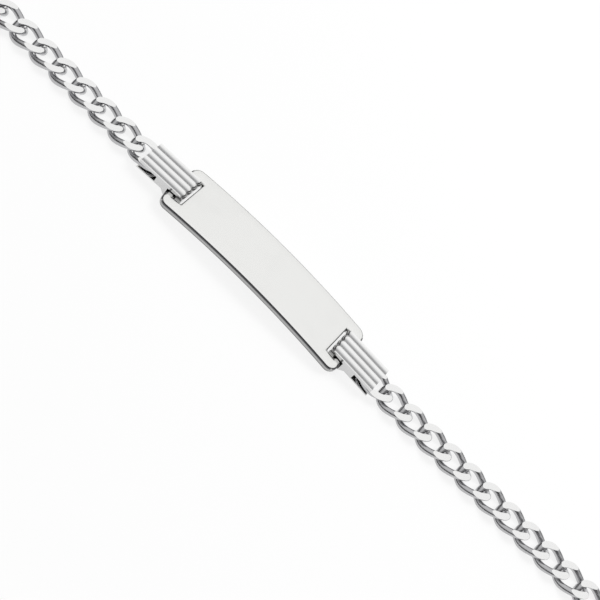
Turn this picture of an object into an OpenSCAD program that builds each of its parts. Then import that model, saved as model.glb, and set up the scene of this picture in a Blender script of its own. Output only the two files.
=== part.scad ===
// Identity bracelet: a bowed name plate between two ribbed connectors and a flat curb chain,
// closed by a clasp opposite the plate. It lies on a table as one whole loop.
// The plate lies along X, its face up, and the chain comes round on the -Y side.
// The origin is on the table, under the middle of the whole loop.

/* [Plate] */
// Length of the plate, end to end
plate_l = 20.6; // [18:0.1:24]
// Width of the plate
plate_w = 5.5; // [4.6:0.1:7]
// Thickness of the plate
plate_t = 0.78; // [0.6:0.01:0.9]
// Radius of the plate's corners
plate_corner = 0.85; // [0.3:0.05:1.4]
// How far the middle of the plate stands above its ends
plate_rise = 0.7; // [0.5:0.02:0.8]
// Width of the bar left between a slot and the plate's end
bar_w = 0.8; // [0.7:0.02:1]
// Width of a slot, along the plate
slot_w = 0.85; // [0.7:0.05:1.2]

/* [Connectors] */
// Width of a connector across its ribs
conn_w = 2.8; // [2.7:0.05:3.2]
// Number of grooves along a connector
grooves = 4; // [3:1:5]
// Height of a rib
rib_h = 0.13; // [0.08:0.01:0.15]
// Width of a groove's floor
groove_w = 0.06; // [0.04:0.01:0.1]
// How far a connector reaches past the plate's end
conn_reach = 3.4; // [3.2:0.05:4]
// Height of a connector over the slot
bend_h = 1.56; // [1.55:0.01:1.7]
// Height of a connector at its chain end
tail_top = 1.32; // [1.3:0.01:1.5]
// Radius of its bends above and below the slot
corner_r = 0.5; // [0.4:0.02:0.6]
// Thickness of the sheet under the plate's bar and under the first link
under_t = 0.13; // [0.12:0.01:0.14]
// Thickness of the sheet over the first link, without its ribs
over_t = 0.15; // [0.12:0.01:0.18]
// Diameter of the post that holds the first link
post_d = 0.6; // [0.5:0.02:0.7]

/* [Chain] */
// Width of a link
link_w = 2.7; // [2.5:0.02:2.8]
// Outer length of a link
link_l = 3.8; // [3.6:0.02:4.2]
// Thickness of the chain between its cut faces
link_t = 0.91; // [0.8:0.01:1.1]
// Diameter of a link's wire
wire_d = 0.64; // [0.5:0.01:0.65]
// Turn of a link's end out of its own plane, in degrees
link_twist = 42; // [40:1:50]
// Thickness of the flattened end of the link in a connector
flat_t = 0.36; // [0.3:0.01:0.4]

/* [Clasp] */
// Length of the clasp's body, without its loops
clasp_l = 6.4; // [5:0.1:8]
// Width of the clasp's body
clasp_w = 4.2; // [3.4:0.1:5]
// Height of the clasp's body
clasp_h = 1.9; // [1.5:0.05:2.3]
// Radius of the clasp's corners
clasp_corner = 1.2; // [0.6:0.1:1.6]

/* [Loop] */
// Length of the straight stretch that carries the plate
stretch_l = 73; // [66:1:78]
// Distance from the plate's line to the clasp's line
loop_d = 38.5; // [34:0.5:40]
// Radius of the loop's turns
turn_r = 8.4; // [8:0.1:9]
// How far the plate lies to the left of the stretch's middle
plate_shift = 4; // [0:0.02:6]

/* [Fit] */
// Least gap where one link hangs in another
joint_gap = 0.13; // [0.12:0.01:0.16]
// Gap between the plate's bar and the connector round it
seat_gap = 0.11; // [0.1:0.01:0.13]
// Gap between a connector and the other edges of its slot
slot_gap = 0.17; // [0.12:0.01:0.2]

/* [Hidden] */

link_sides = 6;
link_steps = 14;
link_power = 2.6;

// The loop on the table: turns round these four centres, joined by straight stretches.
// The first stretch carries the plate. The clasp's stretch lies off to the other side,
// so that both halves of the chain have as many links.
far_y = loop_d / 2 + (clasp_w - plate_w) / 4;
clasp_x = 1.21 * plate_shift;
clasp_run = clasp_l + 5;
turns = [
    [-stretch_l / 2, far_y - turn_r],
    [stretch_l / 2, far_y - turn_r],
    [clasp_x + clasp_run / 2, far_y - loop_d + turn_r],
    [clasp_x - clasp_run / 2, far_y - loop_d + turn_r]
];

// The point on the loop at a distance along it, from the start of the first stretch
n_turns = len(turns);
function unit(v) = v / norm(v);
function bearing(v) = atan2(v[1], v[0]);
function run(i) = turns[(i + 1) % n_turns] - turns[i % n_turns];
function swing(i) = let (d = bearing(run(i)) - bearing(run(i + 1))) d < 0 ? d + 360 : d;
function total(i) =
    i < 0 ? 0 : total(i - 1) + norm(run(i)) + turn_r * swing(i) * PI / 180;
function beside(i) = turn_r * unit([-run(i)[1], run(i)[0]]);
function on_turn(i, s) =
    let (a = bearing(run(i)) + 90 - s / turn_r * 180 / PI)
    turns[(i + 1) % n_turns] + turn_r * [cos(a), sin(a)];
function place(s, i = 0) =
    let (l = total(n_turns - 1), t = s - total(i - 1), r = norm(run(i)))
    s >= l ? place(s - l) :
    s >= total(i) ? place(s, i + 1) :
    t < r ? turns[i] + t * unit(run(i)) + beside(i) :
    on_turn(i, t - r);

// Plate: it is bent round an axis along Y, far below the table
bend_r = plate_l * plate_l / (8 * plate_rise) + plate_rise / 2;
plate_low = under_t + seat_gap;
axis_z = plate_low - sqrt(pow(bend_r - plate_t, 2) - plate_l * plate_l / 4);
slot_l = conn_w + 2 * slot_gap;
plate_s = stretch_l / 2 - plate_shift;
plate_at = place(plate_s);
function face_at(x, r) = axis_z + sqrt(r * r - pow(plate_l / 2 + x, 2));

// Connector, from the side: x runs outwards from the plate's end, and y is the height.
// Its sheet comes up through the slot in two bends, one above the other. Its underside
// rises at the toe, and the post stands a lip's width from the chain end. The ribs and
// the grooves between them are a skin, half as thick as the sheet, over a smooth core.
toe_l = 0.5;
lip = 0.48;
bend_x = slot_gap + corner_r - bar_w - slot_w;
bend_top = bend_h - corner_r;
base_r = corner_r - rib_h;
skin = over_t / 2;
core_r = base_r - skin / 2;
fall = atan2(bend_h - tail_top, conn_reach - bend_x);
post_x = conn_reach - post_d / 2 - lip;
tip_x = post_x - post_d / 2 - joint_gap - wire_d / 2;
pocket_x = tip_x - wire_d / 2 - joint_gap;
toe_x = seat_gap + toe_l;
function top_at(x, r) = bend_top + r / cos(fall) - (x - bend_x) * tan(fall);
rib_pitch = conn_w / grooves;
rib_w = rib_pitch - groove_w;
rib_steps = 3;

// Links: half a ring's length and width, the pitch of a taut chain, and the links in each half,
// spaced evenly from the one in a connector to the clasp's loop
link_a = (link_l - wire_d) / 2;
link_b = (link_w - wire_d) / 2;
taut = link_l - 2 * wire_d - joint_gap;
right_s = plate_s + plate_l / 2 + tip_x + link_a;
left_s = plate_s - plate_l / 2 - tip_x - link_a + total(n_turns - 1);
clasp_s = (right_s + left_s) / 2;
half_l = clasp_s - clasp_l / 2 - right_s;
half_n = ceil(half_l / taut);
pitch = half_l / half_n;

// Heights of the joints. The first link slopes down out of its connector, just under the
// sheet, and each joint stands a quarter as high over the rest of the chain as the one before.
settle = 1 / 4;
chain_z = link_t / 2;
joint_x = tip_x + link_a - pitch / 2;
link_room = flat_t / 2 + joint_gap;
inside = (1 - settle) * (joint_x - pocket_x) / pitch;
pocket_top = top_at(pocket_x, base_r) - over_t;
link_z = (pocket_top - link_room + inside * chain_z) / (1 + inside);
function height(i) = chain_z + (link_z - chain_z) * pow(settle, i);
function link_at(x) = link_z + (joint_x - x) * (link_z - height(1)) / pitch;
function joint(s, way, i) = concat(place(s + way * (i - 0.5) * pitch), height(i));

// A ring of wire, twisted towards its start and its end by the two angles. Its start half is
// cut to one thickness, and from the middle on it grows to the other. Both are given halved.
function power_cos(u) = sign(cos(u)) * pow(abs(cos(u)), 2 / link_power);
function power_sin(u) = sign(sin(u)) * pow(abs(sin(u)), 2 / link_power);
function ring_at(u, twist) =
    let (x = power_cos(u), y = link_b * power_sin(u), f = -x * (x < 0 ? twist[0] : twist[1]))
    [link_a * x, y * cos(f), y * sin(f)];
function ring(twist, cut) = [
    for (i = [0 : link_steps - 1])
        let (u = 360 * (i + 0.5) / link_steps)
        let (c = ring_at(u, twist), t = unit(ring_at(u + 4, twist) - ring_at(u - 4, twist)))
        let (w = unit(cross(t, [0, 0, 1])), h = cross(w, t))
        let (z = cut[0] + (cut[1] - cut[0]) * max(0, c[0]) / link_a)
        for (j = [0 : link_sides - 1])
            let (q = 360 * (j + 0.5) / link_sides)
            let (p = c + wire_d / 2 * (cos(q) * w + sin(q) * h))
            [p[0], p[1], max(-z, min(z, p[2]))]
];
plain = ring([link_twist, link_twist], [link_t / 2, link_t / 2]);
flattened = ring([0, link_twist], [flat_t / 2, link_t / 2]);

// The same ring laid in the chain, its ends at two joints
function laid(points, from, to) =
    let (d = unit(to - from), s = unit(cross([0, 0, 1], d)), n = cross(d, s))
    [for (p = points) (from + to) / 2 + p[0] * d + p[1] * s + p[2] * n];
function link(s, way, i) =
    laid(i == 0 ? flattened : plain, joint(s, way, i), joint(s, way, i + 1));

// Several rings as one list of triangles
module rings(list) {
    count = link_steps * link_sides;
    polyhedron(
        points = [for (r = list) each r],
        faces = [
            for (n = [0 : len(list) - 1], i = [0 : link_steps - 1], j = [0 : link_sides - 1])
                let (a = n * count + i * link_sides, b = n * count + (i + 1) % link_steps * link_sides)
                let (k = (j + 1) % link_sides)
                for (f = [[a + j, a + k, b + k], [a + j, b + k, b + j]]) f
        ]
    );
}

module plate() {
    color("gainsboro")
    translate([plate_at[0], plate_at[1], 0])
    difference() {
        intersection() {
            translate([0, 0, axis_z])
            rotate([90, 0, 0])
            difference() {
                cylinder(h = 2 * plate_w, r = bend_r, center = true, $fn = 360);
                cylinder(h = 3 * plate_w, r = bend_r - plate_t, center = true, $fn = 360);
            }
            linear_extrude(4)
            plate_outline();
        }
        for (side = [-1, 1])
            translate([side * (plate_l / 2 - bar_w - slot_w / 2), 0, 1])
            cube([slot_w, slot_l, 4], center = true);
    }
}

module plate_outline() {
    square([plate_l - 2 * plate_corner, plate_w], center = true);
    square([plate_l, plate_w - 2 * plate_corner], center = true);
    for (x = [-1, 1], y = [-1, 1])
        translate([x * (plate_l / 2 - plate_corner), y * (plate_w / 2 - plate_corner)])
        circle(r = plate_corner, $fn = 48);
}

// A connector, its plate end at x = 0 and its chain end on the +X side
module connector() {
    color("silver") {
        rotate([90, 0, 0])
        linear_extrude(conn_w, center = true)
        connector_side();
        ribs();
        translate([post_x, 0, link_at(post_x) - link_room - under_t / 2])
        cylinder(h = 2 * link_room + under_t, d = post_d, $fn = 32);
    }
}

// Its ribbed skin, along the top, round the two bends and down between them
module ribs() {
    union() {
        translate([bend_x, 0, bend_top])
        rotate([0, fall, 0])
        translate([0, 0, base_r])
        rotate([90, 0, 90])
        linear_extrude((conn_reach - bend_x) / cos(fall) - corner_r * tan(fall))
        rotate([0, 0, 90])
        rib_ends();
        ribs_round(bend_top, 90 + fall);
        ribs_round(corner_r, -90);
        translate([bend_x - base_r, 0, corner_r])
        linear_extrude(bend_top - corner_r)
        rotate([0, 0, 180])
        rib_ends();
    }
}

// Ribs round a bend whose centre is at a height, from its outermost place on
module ribs_round(height, angle) {
    translate([bend_x, 0, height])
    rotate([90, 0, 180])
    rotate_extrude(angle = angle, $fn = 96)
    translate([base_r, 0])
    rib_ends();
}

// Its solid side, open round the plate's bar and round the first link
module connector_side() {
    bar_x = -bar_w - seat_gap;
    difference() {
        union() {
            for (y = [corner_r, bend_top])
                translate([bend_x, y])
                circle(r = core_r, $fn = 96);
            polygon([
                [bend_x, corner_r],
                [bend_x, 0],
                [seat_gap, 0],
                [toe_x, link_at(toe_x) - link_room - under_t],
                [conn_reach, link_at(conn_reach) - link_room - under_t],
                [conn_reach, top_at(conn_reach, core_r)],
                [bend_x + core_r * sin(fall), bend_top + core_r * cos(fall)],
                [bend_x, bend_top],
                [bend_x - core_r, bend_top],
                [bend_x - core_r, corner_r]
            ]);
        }
        polygon([
            [bar_x, face_at(bar_x, bend_r - plate_t) - seat_gap],
            [seat_gap, face_at(seat_gap, bend_r - plate_t) - seat_gap],
            [seat_gap, face_at(seat_gap, bend_r) + seat_gap],
            [bar_x, face_at(bar_x, bend_r) + seat_gap]
        ]);
        polygon([
            [pocket_x, link_at(pocket_x) - link_room],
            [conn_reach + 1, link_at(conn_reach + 1) - link_room],
            [conn_reach + 1, link_at(conn_reach + 1) + link_room],
            [pocket_x, link_at(pocket_x) + link_room]
        ]);
    }
}

// The ribbed face end on: x is the height over the sheet, and y runs across it.
// A whole rib lies between two grooves, and half a one outside the last groove.
module rib_ends() {
    polygon([
        [-skin, -conn_w / 2],
        for (i = [0 : grooves], t = [-1 : 1 / rib_steps : 1])
            let (y = i * rib_pitch + t * rib_w / 2)
            if (y >= 0 && y <= conn_w) [rib_h * (1 - t * t), y - conn_w / 2],
        [-skin, conn_w / 2]
    ]);
}

module connector_right() {
    translate([plate_at[0] + plate_l / 2, plate_at[1], 0])
    connector();
}

module connector_left() {
    translate([plate_at[0] - plate_l / 2, plate_at[1], 0])
    mirror([1, 0, 0])
    connector();
}

module chain_right() {
    color("silver")
    rings([for (i = [0 : half_n - 1]) link(right_s, 1, i)]);
}

module chain_left() {
    color("silver")
    rings([for (i = [0 : half_n - 1]) link(left_s, -1, i)]);
}

// The clasp: a box with a rounded top, and a loop like a link at either end
module clasp() {
    color("silver") {
        rings([link(right_s, 1, half_n), link(left_s, -1, half_n)]);
        translate(concat(place(clasp_s), 0))
        intersection() {
            linear_extrude(clasp_h)
            clasp_outline();
            translate([0, 0, clasp_h - clasp_w])
            rotate([0, 90, 0])
            cylinder(h = 2 * clasp_l, r = clasp_w, center = true, $fn = 128);
        }
    }
}

module clasp_outline() {
    square([clasp_l - 2 * clasp_corner, clasp_w], center = true);
    square([clasp_l, clasp_w - 2 * clasp_corner], center = true);
    for (x = [-1, 1], y = [-1, 1])
        translate([x * (clasp_l / 2 - clasp_corner), y * (clasp_w / 2 - clasp_corner)])
        circle(r = clasp_corner, $fn = 48);
}

plate();
connector_left();
connector_right();
chain_left();
chain_right();
clasp();
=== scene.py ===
import math

import bmesh
import bpy
from mathutils import Matrix, Vector


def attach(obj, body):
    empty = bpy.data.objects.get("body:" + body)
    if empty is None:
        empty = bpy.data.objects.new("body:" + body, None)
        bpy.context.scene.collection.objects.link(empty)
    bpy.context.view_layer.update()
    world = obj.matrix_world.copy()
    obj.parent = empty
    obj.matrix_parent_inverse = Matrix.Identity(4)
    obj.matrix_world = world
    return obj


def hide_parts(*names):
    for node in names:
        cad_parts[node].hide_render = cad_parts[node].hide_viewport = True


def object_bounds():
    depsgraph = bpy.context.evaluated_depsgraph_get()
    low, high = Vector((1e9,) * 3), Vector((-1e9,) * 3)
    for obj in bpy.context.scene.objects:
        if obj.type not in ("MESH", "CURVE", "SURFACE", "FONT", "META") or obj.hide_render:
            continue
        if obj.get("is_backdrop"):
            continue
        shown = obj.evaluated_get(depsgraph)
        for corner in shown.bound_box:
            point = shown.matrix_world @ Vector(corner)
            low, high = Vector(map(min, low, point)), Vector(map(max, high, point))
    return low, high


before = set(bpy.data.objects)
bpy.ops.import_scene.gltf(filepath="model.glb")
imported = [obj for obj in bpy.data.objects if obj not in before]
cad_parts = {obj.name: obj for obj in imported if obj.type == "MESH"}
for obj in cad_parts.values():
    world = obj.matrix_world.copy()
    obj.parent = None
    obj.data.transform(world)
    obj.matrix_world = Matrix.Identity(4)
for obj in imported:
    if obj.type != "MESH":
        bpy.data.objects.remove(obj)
cad_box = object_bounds()

MM = 0.001

# Sizes in millimetres and degrees, as in the part's source
PLATE_L, PLATE_W, PLATE_T, PLATE_CORNER, PLATE_RISE = 20.6, 5.5, 0.78, 0.85, 0.7
PLATE_LOW = 0.24
BAR_W, SLOT_W, SLOT_L = 0.8, 0.85, 3.14
CONNECTOR_W, GROOVES = 2.8, 4
LINK_W, LINK_L, LINK_T, WIRE_D, TWIST, FLAT_T = 2.7, 3.8, 0.91, 0.64, 42, 0.36
JOINT_GAP = 0.13
CLASP_L, CLASP_W, CLASP_H, CLASP_CORNER = 6.4, 4.2, 1.9, 1.2
STRETCH_L, LOOP_D, TURN_R, PLATE_SHIFT = 73, 38.5, 8.4, 4
# The clasp's shift as a multiple of the plate's, and the straight chain left on its stretch
CLASP_SHARE, CLASP_ROOM = 1.21, 5
# Where the first link's end lies in its connector, and how the chain settles on the table
TIP_X, FIRST_Z, SETTLE = 1.87, 0.756, 0.25

# Widths of the eased edges, and how square a link's ring is, where 2 is an ellipse
PLATE_EASE, CLASP_EASE = 0.25, 0.25
LINK_POWER = 2.6
# Steps round a corner, over an eased edge, round a link's ring and round its wire
CORNER_STEPS, EASE_STEPS = 8, 5
RING_POINTS, RING_STEPS, WIRE_STEPS = 96, 56, 20
# Strips along the plate and across the clasp, so that they can be curved
PLATE_STRIPS, CLASP_STRIPS = 84, 28
# Edges that are eased, and edges that stay sharp when a piece is shaded smooth, in degrees
RIM_ANGLE, SHARP_ANGLE = 50, 28
# How near a cut a point counts as on it, in millimetres, and points that are one, in metres
CUT_REACH, WELD_REACH = 1e-5, 1e-7


# Small tools for node trees and objects

class Value:
    """A socket of a node tree that can be added, multiplied and compared like a number."""

    def __init__(self, tree, socket):
        self.tree = tree
        self.socket = socket

    def math(self, operation, *others):
        kind = "ShaderNodeVectorMath" if self.socket.type == "VECTOR" else "ShaderNodeMath"
        return node(self.tree, kind, {"operation": operation}, dict(enumerate((self, *others))))

    def __add__(self, other):
        return self.math("ADD", other)

    def __sub__(self, other):
        return self.math("SUBTRACT", other)

    def __mul__(self, other):
        return self.math("MULTIPLY", other)

    def __pow__(self, other):
        return self.math("POWER", other)

    def __gt__(self, other):
        return self.math("GREATER_THAN", other)

    def __lt__(self, other):
        return self.math("LESS_THAN", other)

    def __neg__(self):
        return self * -1

    def __rsub__(self, other):
        return -self + other

    __radd__ = __add__
    __rmul__ = __mul__


def node(tree, kind, settings=None, values=None, out=0):
    """One node: its settings, then what its inputs hold or are linked to, by name or number."""
    made = tree.nodes.new(kind)
    for name, setting in (settings or {}).items():
        setattr(made, name, setting)
    for name, value in (values or {}).items():
        socket = made.inputs[name]
        if isinstance(value, Value):
            tree.links.new(value.socket, socket)
        else:
            socket.default_value = value
    return Value(tree, made.outputs[out])


def parts_of(tree, vector):
    """The x, y and z of a vector."""
    split = node(tree, "ShaderNodeSeparateXYZ", {}, {0: vector}).socket.node
    return [Value(tree, socket) for socket in split.outputs]


def geometry_tree(name, inputs):
    """A node group for a modifier with named inputs: {name: (socket type, default)}."""
    tree = bpy.data.node_groups.new(name, "GeometryNodeTree")
    tree.is_modifier = True
    tree.interface.new_socket("Geometry", in_out="INPUT", socket_type="NodeSocketGeometry")
    for label, (kind, default) in inputs.items():
        socket = tree.interface.new_socket(label, in_out="INPUT", socket_type=kind)
        if default is not None:
            socket.default_value = default
    tree.interface.new_socket("Geometry", in_out="OUTPUT", socket_type="NodeSocketGeometry")
    group_in = tree.nodes.new("NodeGroupInput")
    group_out = tree.nodes.new("NodeGroupOutput")
    given = {socket.name: Value(tree, socket) for socket in group_in.outputs if socket.name}
    return tree, given, group_out.inputs[0]


def run_tree(base, tree, settings, name):
    """The plain mesh that a tree makes from a base object, in an object of its own."""
    modifier = base.modifiers.new(tree.name, "NODES")
    modifier.node_group = tree
    for item in tree.interface.items_tree:
        if item.in_out == "INPUT" and item.name in settings:
            modifier[item.identifier] = settings[item.name]
    base.update_tag()
    graph = bpy.context.evaluated_depsgraph_get()
    mesh = bpy.data.meshes.new_from_object(base.evaluated_get(graph))
    bpy.data.objects.remove(base)
    return add_object(name, mesh)


def add_object(name, mesh):
    mesh.name = name
    made = bpy.data.objects.new(name, mesh)
    bpy.context.scene.collection.objects.link(made)
    return made


# The loop on the table

FAR_Y = LOOP_D / 2 + (CLASP_W - PLATE_W) / 4
CLASP_X = CLASP_SHARE * PLATE_SHIFT
CLASP_RUN = CLASP_L + CLASP_ROOM
TURNS = [
    Vector((-STRETCH_L / 2, FAR_Y - TURN_R)),
    Vector((STRETCH_L / 2, FAR_Y - TURN_R)),
    Vector((CLASP_X + CLASP_RUN / 2, FAR_Y - LOOP_D + TURN_R)),
    Vector((CLASP_X - CLASP_RUN / 2, FAR_Y - LOOP_D + TURN_R)),
]


def stretches():
    """Each straight stretch and the turn after it, as (start, direction, length, angle turned)."""
    runs = [TURNS[(i + 1) % 4] - TURNS[i] for i in range(4)]
    angles = [math.atan2(run.y, run.x) for run in runs]
    turned = [(angles[i] - angles[(i + 1) % 4]) % (2 * math.pi) for i in range(4)]
    return [(TURNS[i], runs[i].normalized(), runs[i].length, turned[i]) for i in range(4)]


LOOP = stretches()
LOOP_LENGTH = sum(length + TURN_R * turned for _, _, length, turned in LOOP)


def place(s):
    """The point on the loop at a distance along it."""
    s %= LOOP_LENGTH
    for i, (start, way, length, turned) in enumerate(LOOP):
        if s < length:
            return start + way * s + Vector((-way.y, way.x)) * TURN_R
        s -= length
        if s < TURN_R * turned:
            angle = math.atan2(way.y, way.x) + math.pi / 2 - s / TURN_R
            return TURNS[(i + 1) % 4] + TURN_R * Vector((math.cos(angle), math.sin(angle)))
        s -= TURN_R * turned


PLATE_S = STRETCH_L / 2 - PLATE_SHIFT
PLATE_AT = place(PLATE_S)
LINK_A = (LINK_L - WIRE_D) / 2
RIGHT_S = PLATE_S + PLATE_L / 2 + TIP_X + LINK_A
LEFT_S = PLATE_S - PLATE_L / 2 - TIP_X - LINK_A + LOOP_LENGTH
CLASP_S = (RIGHT_S + LEFT_S) / 2
HALF_L = CLASP_S - CLASP_L / 2 - RIGHT_S
HALF_N = math.ceil(HALF_L / (LINK_L - 2 * WIRE_D - JOINT_GAP))
PITCH = HALF_L / HALF_N


def joint(start, way, i):
    """Where a link hangs in the one before it. The first few lie higher than the rest."""
    rise = LINK_T / 2 + (FIRST_Z - LINK_T / 2) * SETTLE ** i
    return Vector((*place(start + way * (i - 0.5) * PITCH), rise))


# Materials

def material(name):
    made = bpy.data.materials.new(name)
    made.use_nodes = True
    tree = made.node_tree
    return made, tree, tree.nodes["Principled BSDF"]


def silver(name, bright, painted_shade, rough, scratch, wave):
    """Polished silver with painted shade: where its piece's own attribute says so, as on sides, the
    colour turns to a darker painted shade colour and the metal grows a little rougher.
    """
    fine_scale, broad_scale = 2600.0, 420.0
    rougher, cloud, wave_depth = 0.14, 0.12, 0.00002
    made, tree, shader = material(name)
    shader.inputs["Metallic"].default_value = 1
    at = node(tree, "ShaderNodeTexCoord", out="Object")
    fine = node(tree, "ShaderNodeTexNoise", {}, {"Vector": at, "Scale": fine_scale, "Detail": 3.0})
    broad = node(tree, "ShaderNodeTexNoise", {}, {"Vector": at, "Scale": broad_scale, "Detail": 2.0})
    painted_shade_level = node(tree, "ShaderNodeAttribute", {"attribute_name": "painted_shade"}, out="Fac")
    roughness = rough + painted_shade_level * rougher + (fine - 0.5) * scratch
    tree.links.new(roughness.socket, shader.inputs["Roughness"])
    # Painted shade darkens the colour, with broad random clouds of tone laid over it
    shade_and_cloud = (painted_shade_level + (broad - 0.5) * cloud).math("MAXIMUM", 0)
    colour = node(tree, "ShaderNodeMix", {"data_type": "RGBA"}, {
        "Factor": shade_and_cloud, 6: (*bright, 1), 7: (*painted_shade, 1)}, out=2)
    tree.links.new(colour.socket, shader.inputs["Base Color"])
    bump = node(tree, "ShaderNodeBump", {}, {
        "Strength": wave, "Distance": wave_depth, "Height": broad})
    tree.links.new(bump.socket, shader.inputs["Normal"])
    return made


# Each silver's second colour is its painted shade: a dark grey that stands in for the shade and dark
# reflections on sides, rims and grooves
PLATE_SILVER = silver("plate_silver", (0.86, 0.86, 0.845), (0.12, 0.12, 0.125), 0.16, 0.08, 0.1)
CHAIN_SILVER = silver("chain_silver", (0.88, 0.88, 0.875), (0.50, 0.50, 0.51), 0.10, 0.05, 0.2)
CONNECTOR_SILVER = silver(
    "connector_silver", (0.90, 0.90, 0.895), (0.22, 0.22, 0.23), 0.12, 0.06, 0.25)

# How much painted shade each place of the plate gets, from 0 for bright silver to 1 for the metal's
# painted shade colour: dark lines on the rims and slot ends, grey walls
PLATE_PAINTED_SHADE = {"level": 0.0, "slot end": 0.8, "slot side": 0.1, "wall": 0.6, "far rim": 0.0, "rim": 1.0}
# Painted shade on the connectors' flat sides, a mid grey in place of their shade
CONNECTOR_SIDE_PAINTED_SHADE = 0.35


# The chain

def link_in(tree, given, twist, cut):
    """A ring of round wire, twisted from end to end and cut level above and below."""
    turn = (node(tree, "GeometryNodeInputIndex") + 0.5) * (2 * math.pi / RING_POINTS)
    cosine = turn.math("COSINE")
    sine = turn.math("SINE")
    power = 2 / LINK_POWER
    x = cosine.math("SIGN") * cosine.math("ABSOLUTE") ** power
    y = sine.math("SIGN") * sine.math("ABSOLUTE") ** power
    half_l = (given["Length"] - given["Wire"]) * 0.5
    half_w = (given["Width"] - given["Wire"]) * 0.5
    angle = -x * (twist[0] * (x < 0) + twist[1] * (x > 0))
    point = node(tree, "ShaderNodeCombineXYZ", {}, {
        "X": x * half_l,
        "Y": y * half_w * angle.math("COSINE"),
        "Z": y * half_w * angle.math("SINE")})
    circle = node(tree, "GeometryNodeCurvePrimitiveCircle", {}, {"Resolution": RING_POINTS})
    path = node(tree, "GeometryNodeSetPosition", {}, {"Geometry": circle, "Position": point})
    path = node(tree, "GeometryNodeResampleCurve", {}, {"Curve": path, "Count": RING_STEPS})
    wire = node(tree, "GeometryNodeCurvePrimitiveCircle", {}, {
        "Resolution": WIRE_STEPS, "Radius": given["Wire"] * 0.5})
    ring = node(tree, "GeometryNodeCurveToMesh", {}, {"Curve": path, "Profile Curve": wire})

    # The slab between the two cuts is twice as long and wide as the ring's middle line
    slab = node(tree, "GeometryNodeMeshCube", {}, {"Size": (1, 1, 1), "Vertices X": 3})
    corner_x, corner_y, corner_z = parts_of(tree, node(tree, "GeometryNodeInputPosition"))
    half_t = cut[0] + (cut[1] - cut[0]) * (corner_x * 4).math("MAXIMUM", 0)
    corner = node(tree, "ShaderNodeCombineXYZ", {}, {
        "X": corner_x * 4 * half_l,
        "Y": corner_y * 4 * half_w,
        "Z": corner_z.math("SIGN") * half_t})
    slab = node(tree, "GeometryNodeSetPosition", {}, {"Geometry": slab, "Position": corner})
    both = tree.nodes.new("GeometryNodeMeshBoolean")
    both.operation = "INTERSECT"
    both.solver = "EXACT"
    for solid in (ring, slab):
        tree.links.new(solid.socket, both.inputs["Mesh 2"])
    return Value(tree, both.outputs["Mesh"])


def shade_painted_sides(tree, mesh):
    """The link with painted shade on its round sides, and its level cut faces bright."""
    level = 0.97
    up = parts_of(tree, node(tree, "GeometryNodeInputNormal"))[2].math("ABSOLUTE")
    return node(tree, "GeometryNodeStoreNamedAttribute", {"data_type": "FLOAT", "domain": "FACE"}, {
        "Geometry": mesh, "Name": "painted_shade", "Value": up < level})


def smoothed(tree, mesh):
    """The mesh shaded smooth, with its sharp edges kept."""
    smooth = node(tree, "GeometryNodeSetShadeSmooth", {}, {"Geometry": mesh, "Shade Smooth": True})
    angle = node(tree, "GeometryNodeInputMeshEdgeAngle")
    return node(tree, "GeometryNodeSetShadeSmooth", {"domain": "EDGE"}, {
        "Geometry": smooth, "Selection": angle > math.radians(SHARP_ANGLE), "Shade Smooth": False})


def chain_tree():
    """Links on the points of a route, each along its point's direction; the first is flattened."""
    tree, given, out = geometry_tree("curb_chain", {
        "Length": ("NodeSocketFloat", LINK_L * MM),
        "Width": ("NodeSocketFloat", LINK_W * MM),
        "Wire": ("NodeSocketFloat", WIRE_D * MM),
        "Thickness": ("NodeSocketFloat", LINK_T * MM),
        "Flat end": ("NodeSocketFloat", FLAT_T * MM),
        "Twist": ("NodeSocketFloat", math.radians(TWIST)),
        "Metal": ("NodeSocketMaterial", None)})
    half = given["Thickness"] * 0.5
    flat = given["Flat end"] * 0.5
    plain = link_in(tree, given, (given["Twist"], given["Twist"]), (half, half))
    ended = link_in(tree, given, (0, given["Twist"]), (flat, half))
    kinds = tree.nodes.new("GeometryNodeGeometryToInstance")
    for kind in (plain, ended):
        tree.links.new(smoothed(tree, shade_painted_sides(tree, kind)).socket, kinds.inputs[0])
    along = node(tree, "GeometryNodeInputNamedAttribute", {"data_type": "FLOAT_VECTOR"}, {
        "Name": "along"})
    which = node(tree, "GeometryNodeInputNamedAttribute", {"data_type": "INT"}, {"Name": "kind"})
    turn = node(tree, "FunctionNodeAxesToRotation", {"primary_axis": "X", "secondary_axis": "Z"}, {
        "Primary Axis": along, "Secondary Axis": (0, 0, 1)})
    laid = node(tree, "GeometryNodeInstanceOnPoints", {}, {
        "Points": given["Geometry"],
        "Instance": Value(tree, kinds.outputs[0]),
        "Pick Instance": True,
        "Instance Index": which,
        "Rotation": turn})
    real = node(tree, "GeometryNodeRealizeInstances", {}, {"Geometry": laid})
    done = node(tree, "GeometryNodeSetMaterial", {}, {"Geometry": real, "Material": given["Metal"]})
    tree.links.new(done.socket, out)
    return tree


CHAIN_TREE = chain_tree()


def links_on(name, start, way, numbers):
    """Links of these numbers from a connector on, each at its middle and along its direction."""
    ends = [(joint(start, way, i), joint(start, way, i + 1)) for i in numbers]
    route = bpy.data.meshes.new(name + "_route")
    route.from_pydata([(a + b) / 2 * MM for a, b in ends], [], [])
    route.attributes.new("along", "FLOAT_VECTOR", "POINT")
    route.attributes.new("kind", "INT", "POINT")
    for n, (i, (a, b)) in enumerate(zip(numbers, ends)):
        route.attributes["along"].data[n].vector = (b - a).normalized()
        route.attributes["kind"].data[n].value = 0 if i == 0 else 1
    points = add_object(name + "_route", route)
    return run_tree(points, CHAIN_TREE, {"Metal": CHAIN_SILVER}, name)


def chain(name, start, way):
    links = links_on(name, start, way, range(HALF_N))
    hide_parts(name)
    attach(links, "root")


chain("chain_right", RIGHT_S, 1)
chain("chain_left", LEFT_S, -1)


# Steps that the plate, the connectors and the clasp share

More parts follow.
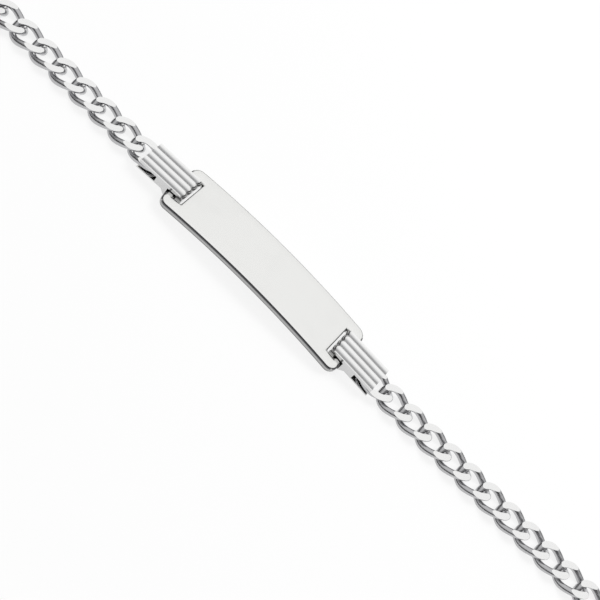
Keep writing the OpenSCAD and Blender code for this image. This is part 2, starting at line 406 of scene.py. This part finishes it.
def rounded_outline(length, width, corner_r):
    """A rectangle about the origin with round corners."""
    points = []
    for sx, sy, first in ((1, 1, 0), (-1, 1, 90), (-1, -1, 180), (1, -1, 270)):
        for step in range(CORNER_STEPS + 1):
            angle = math.radians(first + 90 * step / CORNER_STEPS)
            points.append((sx * (length / 2 - corner_r) + corner_r * math.cos(angle),
                           sy * (width / 2 - corner_r) + corner_r * math.sin(angle)))
    return points


def ring_of_edges(mesh, points):
    corners = [mesh.verts.new((x, y, 0)) for x, y in points]
    return [mesh.edges.new((a, b)) for a, b in zip(corners, corners[1:] + corners[:1])]


def fill(mesh, edges):
    """A level face within the outlines, less the ones inside it."""
    bmesh.ops.triangle_fill(mesh, edges=edges, use_beauty=True, normal=(0, 0, 1))
    bmesh.ops.dissolve_limit(mesh, angle_limit=0.01, verts=mesh.verts, edges=mesh.edges)


def cut_in_strips(mesh, along, length, strips):
    """Cuts across one direction, evenly over a length about the origin."""
    for n in range(1, strips):
        bmesh.ops.bisect_plane(mesh, geom=mesh.verts[:] + mesh.edges[:] + mesh.faces[:],
                               plane_co=along * (length * (n / strips - 0.5)), plane_no=along,
                               dist=CUT_REACH)


def second_side(mesh):
    """Gives the level face a second side with walls between, and returns its corners."""
    made = bmesh.ops.extrude_face_region(mesh, geom=mesh.faces[:])
    return [part for part in made["geom"] if isinstance(part, bmesh.types.BMVert)]


def sharp_edges(mesh, degrees):
    limit = math.radians(degrees)
    return [edge for edge in mesh.edges
            if len(edge.link_faces) == 2 and edge.calc_face_angle(0) > limit]


def ease_rims(mesh, width):
    bmesh.ops.recalc_face_normals(mesh, faces=mesh.faces)
    bmesh.ops.bevel(mesh, geom=sharp_edges(mesh, RIM_ANGLE), offset=width, segments=EASE_STEPS,
                    profile=0.5, affect="EDGES")


def even_normals(piece):
    """Shades the broad faces flat, so that only the eased edges between them look round."""
    even = piece.modifiers.new("even_normals", "WEIGHTED_NORMAL")
    even.weight = 90


def paint_shade(mesh, painted_shade_level):
    """Stores on each face corner how much painted shade it gets, as given for its point and its face's
    normal.
    """
    layer = mesh.loops.layers.float.new("painted_shade")
    for face in mesh.faces:
        for corner in face.loops:
            corner[layer] = painted_shade_level(corner.vert.co, face.normal)


def finish_piece(mesh, name, node_name, metal, sharp=()):
    """An object from a mesh, shaded smooth, that takes the place of a CAD node."""
    for face in mesh.faces:
        face.smooth = True
    for edge in sharp:
        edge.smooth = False
    made = bpy.data.meshes.new(name)
    mesh.to_mesh(made)
    mesh.free()
    made.materials.append(metal)
    piece = add_object(name, made)
    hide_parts(node_name)
    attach(piece, "root")
    return piece


def plate():
    """The plate: an outline with two slots, thickened, eased, cut into narrow strips and bowed."""
    half_l = PLATE_L / 2
    half_w = PLATE_W / 2
    mesh = bmesh.new()
    edges = ring_of_edges(mesh, rounded_outline(PLATE_L, PLATE_W, PLATE_CORNER))
    corners = ((-1, -1), (1, -1), (1, 1), (-1, 1))
    for side in (-1, 1):
        slot_x = side * (half_l - BAR_W - SLOT_W / 2)
        edges += ring_of_edges(mesh, [(slot_x + x * SLOT_W / 2, y * SLOT_L / 2) for x, y in corners])
    fill(mesh, edges)
    for corner in second_side(mesh):
        corner.co.z += PLATE_T
    ease_rims(mesh, PLATE_EASE)
    mesh.normal_update()

    # Painted shade: a dark line on every eased rim but the far one, grey on the walls, dark slot ends
    def painted_shade_level(point, normal):
        level, upright, away = 0.8, 0.1, 0.3
        if abs(normal.z) > level:
            return PLATE_PAINTED_SHADE["level"]
        if half_l - abs(point.x) > PLATE_EASE and half_w - abs(point.y) > PLATE_EASE:
            return PLATE_PAINTED_SHADE["slot end" if abs(normal.x) > abs(normal.y) else "slot side"]
        if abs(normal.z) < upright:
            return PLATE_PAINTED_SHADE["wall"]
        return PLATE_PAINTED_SHADE["far rim" if normal.y > away else "rim"]

    paint_shade(mesh, painted_shade_level)
    cut_in_strips(mesh, Vector((1, 0, 0)), PLATE_L, PLATE_STRIPS)
    bend_r = PLATE_L ** 2 / (8 * PLATE_RISE) + PLATE_RISE / 2
    axis_z = PLATE_LOW - math.sqrt((bend_r - PLATE_T) ** 2 - half_l ** 2)
    for corner in mesh.verts:
        x, y, z = corner.co
        radius = bend_r - PLATE_T + z
        bowed_z = axis_z + math.sqrt(radius ** 2 - x ** 2)
        corner.co = Vector((x + PLATE_AT.x, y + PLATE_AT.y, bowed_z)) * MM
    even_normals(finish_piece(mesh, "name_plate", "plate", PLATE_SILVER))


plate()


def connector(name):
    """A connector as it was made, with painted shade on its sides and in the bottoms of its grooves.
    """
    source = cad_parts[name]
    mesh = bmesh.new()
    mesh.from_mesh(source.data)
    mesh.transform(source.matrix_world)
    bmesh.ops.remove_doubles(mesh, verts=mesh.verts, dist=WELD_REACH)
    bmesh.ops.recalc_face_normals(mesh, faces=mesh.faces)

    def painted_shade_level(point, normal):
        sideways = 0.9
        if abs(normal.y) > sideways:
            return CONNECTOR_SIDE_PAINTED_SHADE
        # Painted shade that deepens towards the bottom of each groove
        across = (point.y / MM - FAR_Y) / (CONNECTOR_W / GROOVES) % 1
        return (2 * min(across, 1 - across)) ** 3

    paint_shade(mesh, painted_shade_level)
    finish_piece(mesh, name + "_metal", name, CONNECTOR_SILVER,
                 sharp_edges(mesh, SHARP_ANGLE))


connector("connector_left")
connector("connector_right")


def clasp():
    """The clasp: a box with a rounded top and eased edges, and a loop like a link's at each end."""
    mesh = bmesh.new()
    fill(mesh, ring_of_edges(mesh, rounded_outline(CLASP_L, CLASP_W, CLASP_CORNER)))
    cut_in_strips(mesh, Vector((0, 1, 0)), CLASP_W, CLASP_STRIPS)
    for corner in second_side(mesh):
        corner.co.z = CLASP_H - CLASP_W + math.sqrt(CLASP_W ** 2 - corner.co.y ** 2)
    ease_rims(mesh, CLASP_EASE)
    at = place(CLASP_S) * MM
    bmesh.ops.scale(mesh, vec=(MM, MM, MM), verts=mesh.verts)
    bmesh.ops.translate(mesh, vec=(at.x, at.y, 0), verts=mesh.verts)
    even_normals(finish_piece(mesh, "clasp_body", "clasp", CONNECTOR_SILVER))
    for name, start, way in (("clasp_loop_right", RIGHT_S, 1), ("clasp_loop_left", LEFT_S, -1)):
        loop = links_on(name, start, way, [HALF_N])
        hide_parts("clasp")
        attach(loop, "root")


clasp()


# Floor, light and camera

FLOOR_HALF = 0.6
FLOOR_GREY, FLOOR_ROUGH, FLOOR_GLOW = 0.16, 0.9, 0.80
# Brightness of the surroundings by height, from straight below to straight above
SKY = ((0.0, 0.14), (0.06, 0.04), (0.32, 0.05), (0.42, 0.45), (0.56, 0.88), (1.0, 0.93))
# How much brighter they are towards the far side, as a share of a step in height
SKY_LEAN = 0.16
LAMP_SIZE, LAMP_POWER = 0.12, 0.4
LAMP_AT = Vector((0.10, 0.15 + FAR_Y * MM, 0.22))
LAMP_AIM = Vector((0, FAR_Y * MM, 0))
# The camera: its distance, its angles, what it looks at in millimetres beyond the plate's
# middle line, and its lens as half the picture's width over the focal length
CAMERA_DISTANCE, CAMERA_HEIGHT, CAMERA_ROLL = 0.11143, 52, 45
CAMERA_AIM = (0.07, 1.05)
HALF_PICTURE, FOCAL_LENGTH = 300, 1300


def add_floor():
    size = FLOOR_HALF
    floor = bpy.data.meshes.new("floor")
    corners = [(-size, -size, 0), (size, -size, 0), (size, size, 0), (-size, size, 0)]
    floor.from_pydata(corners, [], [(0, 1, 2, 3)])
    paper, _, shader = material("paper")
    shader.inputs["Base Color"].default_value = (FLOOR_GREY, FLOOR_GREY, FLOOR_GREY, 1)
    shader.inputs["Roughness"].default_value = FLOOR_ROUGH
    shader.inputs["Emission Color"].default_value = (1, 1, 1, 1)
    shader.inputs["Emission Strength"].default_value = FLOOR_GLOW
    floor.materials.append(paper)
    add_object("floor", floor)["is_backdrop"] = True


def add_sky():
    """Surroundings that are bright above and dark near the horizon, as the metal reflects them."""
    world = bpy.data.worlds.new("studio")
    world.use_nodes = True
    bpy.context.scene.world = world
    tree = world.node_tree
    _, away, up = parts_of(tree, node(tree, "ShaderNodeTexCoord"))
    ramp = node(tree, "ShaderNodeValToRGB", {}, {0: up + away * SKY_LEAN})
    stops = ramp.socket.node.color_ramp.elements
    for height, grey in SKY:
        stops.new(height).color = (grey, grey, grey, 1)
    stops.remove(stops[0])
    stops.remove(stops[-1])
    background = tree.nodes["Background"]
    tree.links.new(ramp.socket, background.inputs["Color"])
    background.inputs["Strength"].default_value = 1.0


def add_lamp():
    """A soft lamp for the shadows, which the metal doesn't reflect."""
    lamp = bpy.data.lights.new("soft_box", "AREA")
    lamp.size = LAMP_SIZE
    lamp.energy = LAMP_POWER
    soft_box = bpy.data.objects.new("soft_box", lamp)
    bpy.context.scene.collection.objects.link(soft_box)
    soft_box.location = LAMP_AT
    soft_box.rotation_euler = (LAMP_AIM - LAMP_AT).to_track_quat("-Z", "Y").to_euler()
    soft_box.visible_glossy = False


def add_camera():
    """Looks down on the plate from the near side, turned so the chain runs corner to corner."""
    height = math.radians(CAMERA_HEIGHT)
    roll = math.radians(CAMERA_ROLL)
    aim = Vector((CAMERA_AIM[0], FAR_Y + CAMERA_AIM[1], 0)) * MM
    lens = bpy.data.cameras.new("camera")
    lens.lens_unit = "FOV"
    lens.angle = 2 * math.atan(HALF_PICTURE / FOCAL_LENGTH)
    lens.clip_start = 0.005
    shot = bpy.data.objects.new("camera", lens)
    bpy.context.scene.collection.objects.link(shot)
    back = Vector((0, -math.cos(height), math.sin(height)))
    turn = Matrix.Rotation(math.pi / 2 - height, 4, "X") @ Matrix.Rotation(roll, 4, "Z")
    shot.matrix_world = Matrix.Translation(aim + back * CAMERA_DISTANCE) @ turn
    bpy.context.scene.camera = shot


add_floor()
add_sky()
add_lamp()
add_camera()
bpy.context.scene.view_settings.view_transform = "Standard"

box = [[list(corner) for corner in ends] for ends in (cad_box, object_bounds())]
